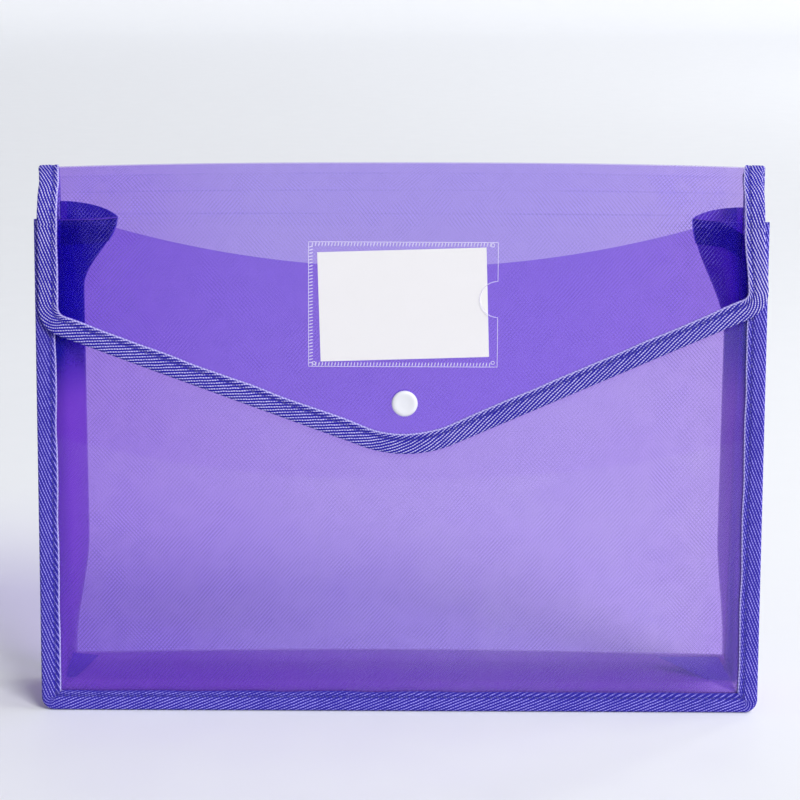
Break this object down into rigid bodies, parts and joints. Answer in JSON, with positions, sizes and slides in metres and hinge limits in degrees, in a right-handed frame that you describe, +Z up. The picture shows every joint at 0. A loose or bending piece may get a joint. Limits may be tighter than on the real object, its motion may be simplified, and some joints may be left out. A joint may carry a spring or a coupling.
{
  "type": "document pouch",
  "caption": "Expanding document pouch of translucent plastic sheet with bound edges, a folded gusset, a V-shaped snap flap and a label pocket.",
  "frame": {"origin": "on the floor under the middle of the pouch", "axes": "+Z up, the front with the flap faces -Y, +X to the right when seen from the front"},
  "size_m": [0.33, 0.0472, 0.2472],
  "materials": {
    "panel_plastic": "translucent sheet with fine diagonal embossed lines",
    "gusset_plastic": "smooth translucent sheet",
    "woven_tape": "twill woven tape, stitched",
    "snap_plastic": "smooth white",
    "clear_film": "clear film, heat welded",
    "card": "plain white card"
  },
  "bodies": {
    "back": {"back_panel": "panel_plastic", "back_binding": "woven_tape", "gusset": "gusset_plastic"},
    "front": {"front_panel": "panel_plastic", "front_binding": "woven_tape", "panel_snap_stud": "snap_plastic", "panel_snap_cap": "snap_plastic"},
    "spine_upper": {"spine_upper": "panel_plastic", "spine_upper_binding_left": "woven_tape", "spine_upper_binding_right": "woven_tape"},
    "spine_middle": {"spine_middle": "panel_plastic", "spine_middle_binding_left": "woven_tape", "spine_middle_binding_right": "woven_tape"},
    "spine_lower": {"spine_lower": "panel_plastic", "spine_lower_binding_left": "woven_tape", "spine_lower_binding_right": "woven_tape"},
    "flap": {"flap_panel": "panel_plastic", "flap_binding": "woven_tape", "label_window": "clear_film", "flap_snap_cap": "snap_plastic", "flap_snap_socket": "snap_plastic"},
    "card": {"label_card": "card"}
  },
  "joints": [
    {"name": "gusset_fold", "type": "hinge", "parent": "back", "child": "front", "pos_m": [0, 0.00381, 0.36914], "axis": [1, 0, 0], "range_deg": [0, 6.27], "deforming": ["gusset"]},
    {"name": "ridge_fold", "type": "hinge", "parent": "back", "child": "spine_upper", "pos_m": [0, 0.01257, 0.247], "axis": [-1, 0, 0], "range_deg": [0, 170]},
    {"name": "upper_score", "type": "hinge", "parent": "spine_upper", "child": "spine_middle", "pos_m": [0, 0.00351, 0.24277], "axis": [-1, 0, 0], "range_deg": [0, 18.2]},
    {"name": "lower_score", "type": "hinge", "parent": "spine_middle", "child": "spine_lower", "pos_m": [0, -0.00447, 0.23676], "axis": [-1, 0, 0], "range_deg": [0, 37.8]},
    {"name": "flap_score", "type": "hinge", "parent": "spine_lower", "child": "flap", "pos_m": [0, -0.00917, 0.22793], "axis": [-1, 0, 0], "range_deg": [0, 36.3]},
    {"name": "card_slide", "type": "slide", "parent": "flap", "child": "card", "axis": [1, 0, 0], "range_m": [0, 0.048]}
  ]
}
